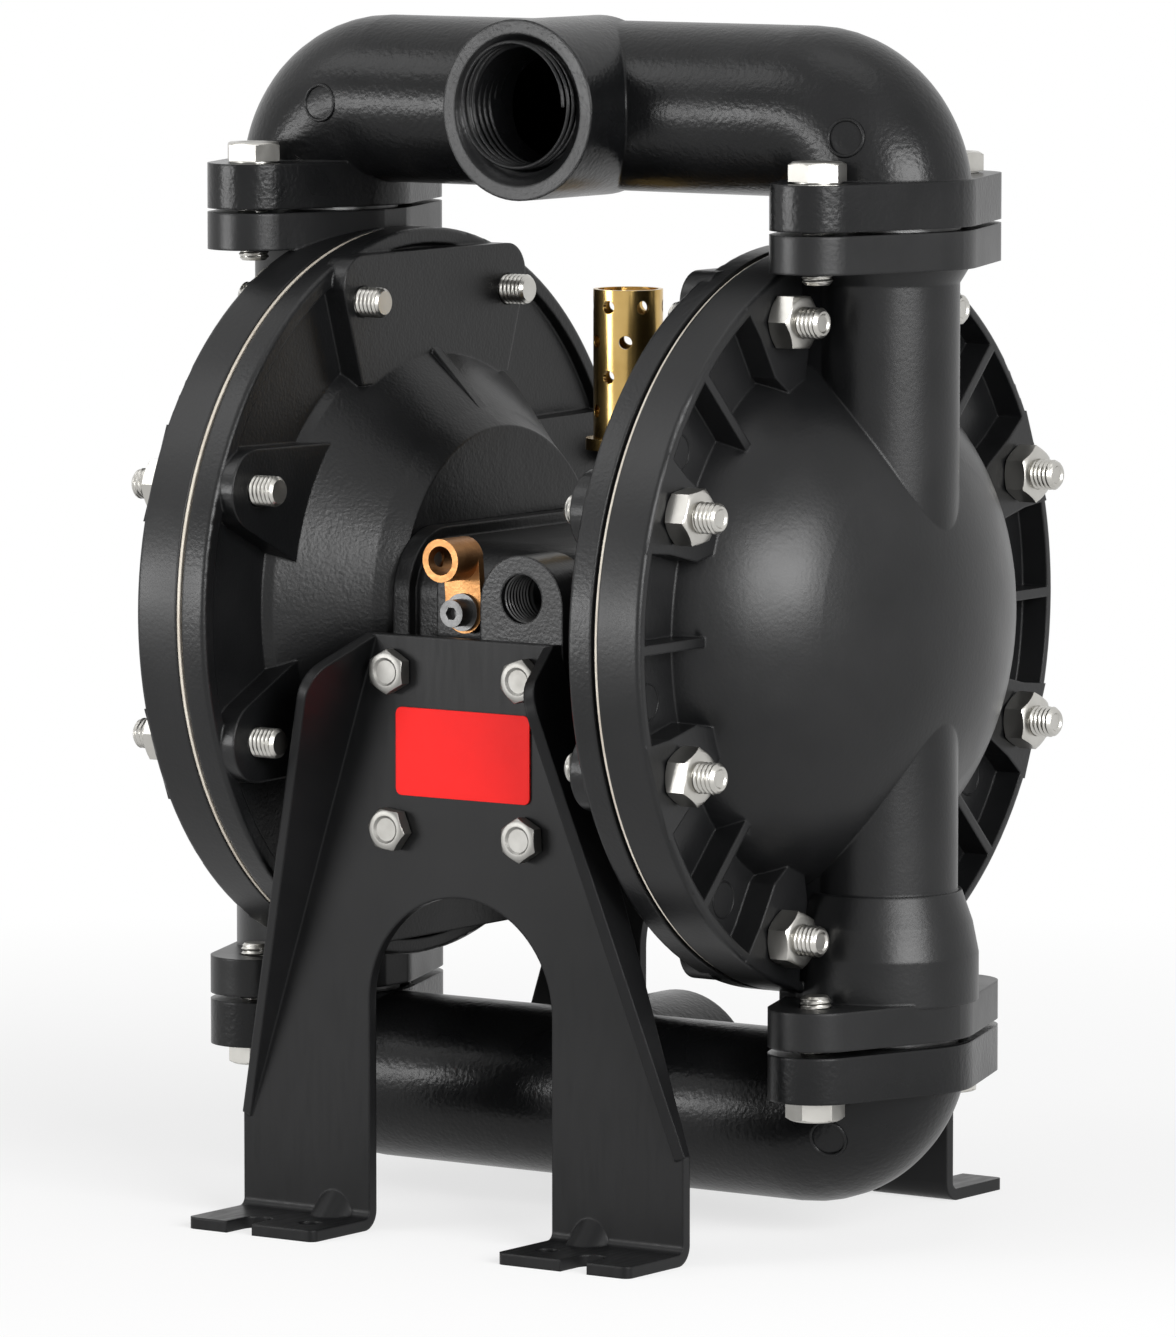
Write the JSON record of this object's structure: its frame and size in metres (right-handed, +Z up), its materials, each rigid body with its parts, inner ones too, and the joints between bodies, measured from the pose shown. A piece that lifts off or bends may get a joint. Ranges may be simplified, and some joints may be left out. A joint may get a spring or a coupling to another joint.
{
  "type": "air operated diaphragm pump",
  "caption": "Black cast metal air operated double diaphragm pump with domed fluid caps, curved manifolds, ball checks, a brass exhaust muffler and folded sheet steel feet",
  "frame": {"origin": "on the floor under the middle of the pump", "axes": "X along the diaphragm axis, Z up, outlet port faces -Y and inlet port faces +Y"},
  "size_m": [0.223, 0.19, 0.3088],
  "materials": {
    "cast_black": "satin black coating over cast aluminium with a fine orange-peel texture",
    "bracket_black": "smooth satin black powder coat on folded sheet steel",
    "stainless": "bright stainless steel with a light satin",
    "rod_steel": "ground and polished steel",
    "anodised": "plain turned aluminium",
    "ptfe": "waxy off-white fluoropolymer",
    "black_rubber": "dull black rubber",
    "bush_plastic": "plain bearing plastic",
    "brass": "polished drawn brass tube",
    "bronze": "sand cast bronze, slightly grainy",
    "label_red": "flat red printed label"
  },
  "bodies": {
    "pump_body": {"centre_body": "cast_black", "outlet_manifold": "cast_black", "inlet_manifold": "cast_black", "air_cap_left": "cast_black", "air_cap_right": "cast_black", "fluid_cap_left": "cast_black", "fluid_cap_right": "cast_black", "bracket_front": "bracket_black", "bracket_rear": "bracket_black", "outlet_bolts": "stainless", "inlet_bolts": "stainless", "bracket_bolts_front": "stainless", "bracket_bolts_rear": "stainless", "ground_screw": "stainless", "ground_washer": "stainless", "lug_clamp": "stainless", "cap_studs_left": "stainless", "cap_studs_right": "stainless", "cap_nuts_left": "stainless", "cap_nuts_right": "stainless", "hub_screws_left": "stainless", "hub_screws_right": "stainless", "outlet_seat_left": "stainless", "outlet_seat_right": "stainless", "inlet_seat_left": "stainless", "inlet_seat_right": "stainless", "exhaust_nipple": "rod_steel", "valve_sleeve": "anodised", "pilot_sleeve": "anodised", "valve_plug_left": "anodised", "valve_plug_right": "anodised", "diaphragm_left": "ptfe", "diaphragm_right": "ptfe", "outlet_seat_rings": "black_rubber", "inlet_seat_rings": "black_rubber", "backup_diaphragm_left": "black_rubber", "backup_diaphragm_right": "black_rubber", "hub_gasket_left": "black_rubber", "hub_gasket_right": "black_rubber", "rod_seal_left": "black_rubber", "rod_seal_right": "black_rubber", "rod_bush_left": "bush_plastic", "rod_bush_right": "bush_plastic", "muffler_tube": "brass", "muffler_collar": "brass", "ground_lug": "bronze", "label_plate": "label_red"},
    "rod_group": {"rod": "rod_steel", "inner_plate_left": "anodised", "inner_plate_right": "anodised", "outer_plate_left": "anodised", "outer_plate_right": "anodised", "diaphragm_screw_left": "stainless", "diaphragm_screw_right": "stainless"},
    "pilot": {"pilot_rod": "rod_steel"},
    "spool": {"valve_spool": "anodised"},
    "outlet_ball_left": {"outlet_ball_left": "ptfe"},
    "outlet_ball_right": {"outlet_ball_right": "ptfe"},
    "inlet_ball_left": {"inlet_ball_left": "ptfe"},
    "inlet_ball_right": {"inlet_ball_right": "ptfe"}
  },
  "joints": [
    {"name": "rod_slide", "type": "slide", "parent": "pump_body", "child": "rod_group", "axis": [1, 0, 0], "range_m": [-0.011, 0.011], "deforming": ["diaphragm_left", "diaphragm_right", "backup_diaphragm_left", "backup_diaphragm_right"]},
    {"name": "pilot_slide", "type": "slide", "parent": "pump_body", "child": "pilot", "axis": [1, 0, 0], "range_m": [-0.0034, 0.0034]},
    {"name": "spool_slide", "type": "slide", "parent": "pump_body", "child": "spool", "axis": [1, 0, 0], "range_m": [-0.004, 0.004]},
    {"name": "outlet_ball_left_lift", "type": "slide", "parent": "pump_body", "child": "outlet_ball_left", "axis": [0, 0, 1], "range_m": [0, 0.006]},
    {"name": "outlet_ball_right_lift", "type": "slide", "parent": "pump_body", "child": "outlet_ball_right", "axis": [0, 0, 1], "range_m": [0, 0.006]},
    {"name": "inlet_ball_left_lift", "type": "slide", "parent": "pump_body", "child": "inlet_ball_left", "axis": [0, 0, 1], "range_m": [0, 0.006]},
    {"name": "inlet_ball_right_lift", "type": "slide", "parent": "pump_body", "child": "inlet_ball_right", "axis": [0, 0, 1], "range_m": [0, 0.006]}
  ],
  "couplings": [
    {"joint": "pilot_slide", "follows": "rod_slide", "ratio": 0.3}
  ]
}
